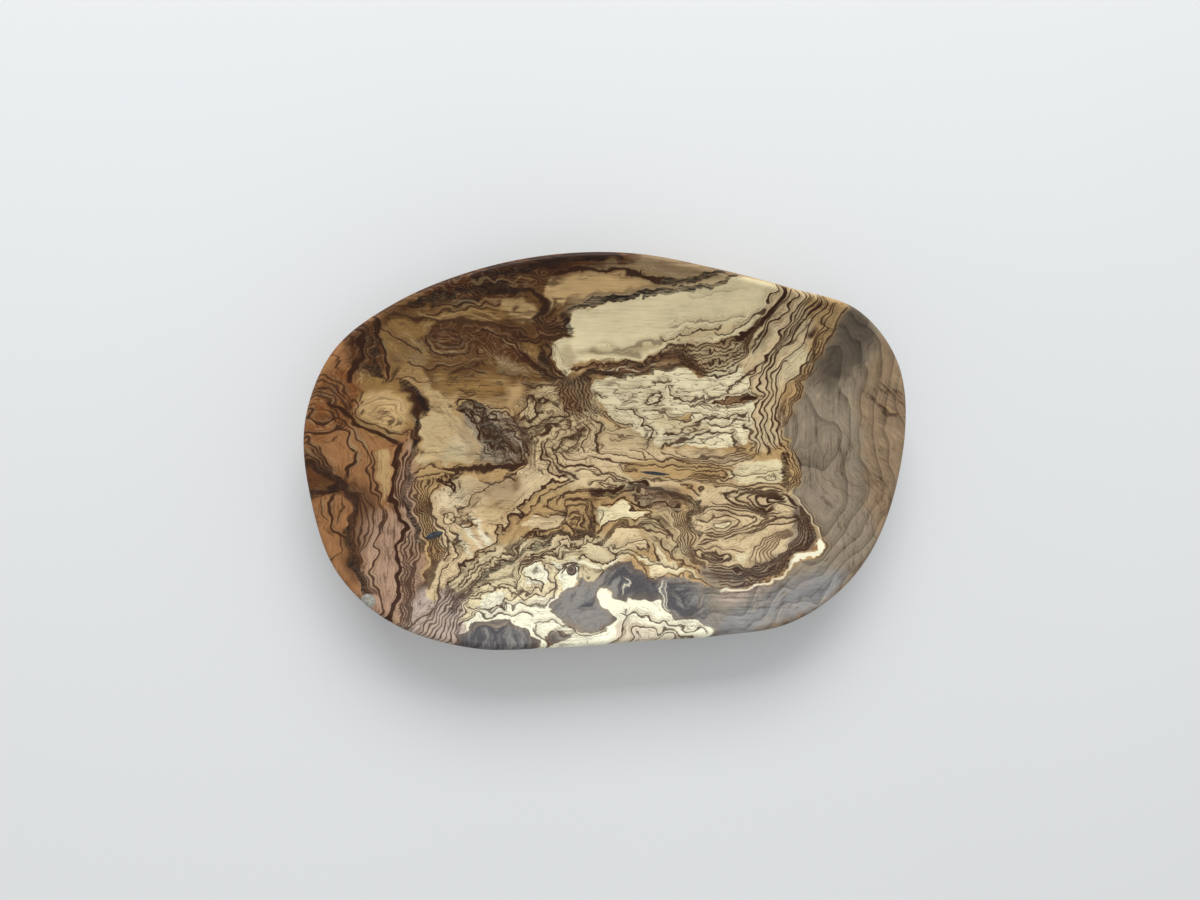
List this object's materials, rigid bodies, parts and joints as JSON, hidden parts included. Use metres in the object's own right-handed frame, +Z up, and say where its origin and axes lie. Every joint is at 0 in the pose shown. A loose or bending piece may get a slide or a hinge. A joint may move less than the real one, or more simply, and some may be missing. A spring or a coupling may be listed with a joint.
{
  "type": "olive wood dish",
  "caption": "Shallow freeform serving dish carved from olive wood, with a rounded rim, a flat foot and flush fills in its natural faults.",
  "frame": {"origin": "on the table under the middle of the dish's length and width", "axes": "+X along the length towards the grey-brown end, +Y across the width, +Z up out of the bowl"},
  "size_m": [0.26, 0.169, 0.032],
  "materials": {
    "olive_wood": "oiled satin",
    "knot_wood": "oiled satin",
    "dark_resin": "sanded flush, satin",
    "grey_filler": "sanded flush, matt"
  },
  "bodies": {
    "root": {"dish_body": "olive_wood", "oval_knot_fill": "dark_resin", "fissure_fill": "dark_resin", "pin_knot": "knot_wood", "rim_chip_fill": "grey_filler"}
  },
  "joints": []
}
